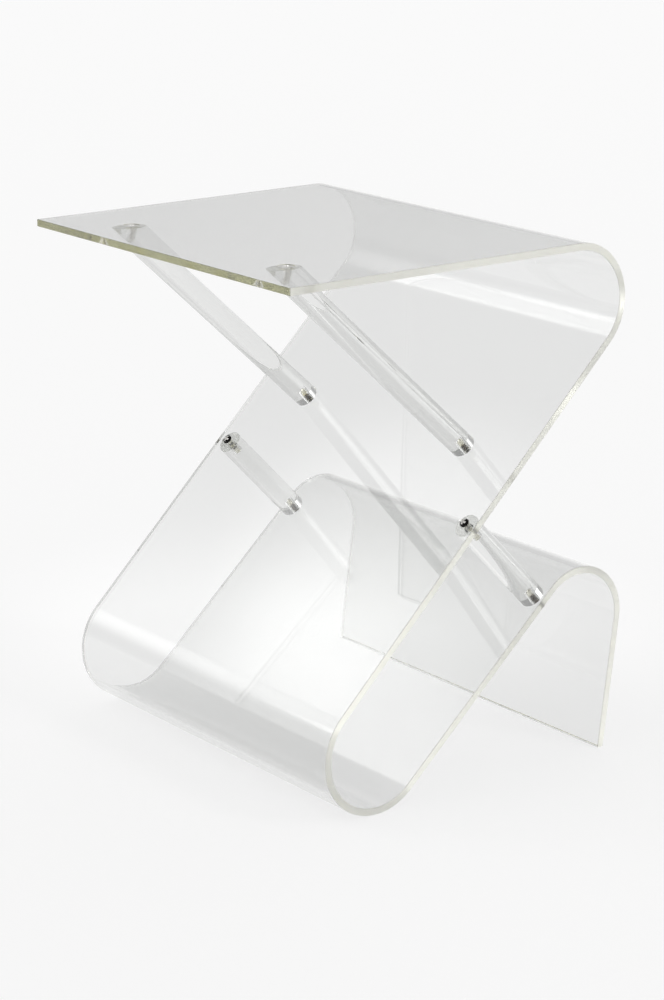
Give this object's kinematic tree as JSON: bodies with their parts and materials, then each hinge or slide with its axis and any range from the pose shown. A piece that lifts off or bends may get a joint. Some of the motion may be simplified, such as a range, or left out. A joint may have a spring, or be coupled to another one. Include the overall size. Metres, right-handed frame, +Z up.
{
  "type": "side table",
  "caption": "Clear acrylic side table: one bent sheet makes top, sloping back, magazine pocket and foot, braced by round acrylic stays held with screws.",
  "frame": {"origin": "on the floor, under the middle of the table's depth and width", "axes": "+Z up, -X towards the tabletop's free front edge, +Y to the left of someone facing that edge"},
  "size_m": [0.3682, 0.37, 0.465],
  "materials": {
    "acrylic_sheet": "clear polished acrylic with a faint green edge",
    "acrylic_rod": "clear polished acrylic rod",
    "bright_screw": "bright plated steel"
  },
  "bodies": {
    "root": {"bent_sheet": "acrylic_sheet", "lower_rod_back_screw_left": "bright_screw", "lower_rod_back_screw_right": "bright_screw", "lower_rod_front_screw_left": "bright_screw", "lower_rod_front_screw_right": "bright_screw", "lower_rod_left": "acrylic_rod", "lower_rod_right": "acrylic_rod", "tabletop_screw_left": "bright_screw", "tabletop_screw_right": "bright_screw", "upper_rod_left": "acrylic_rod", "upper_rod_right": "acrylic_rod", "upper_rod_screw_left": "bright_screw", "upper_rod_screw_right": "bright_screw"}
  },
  "joints": []
}
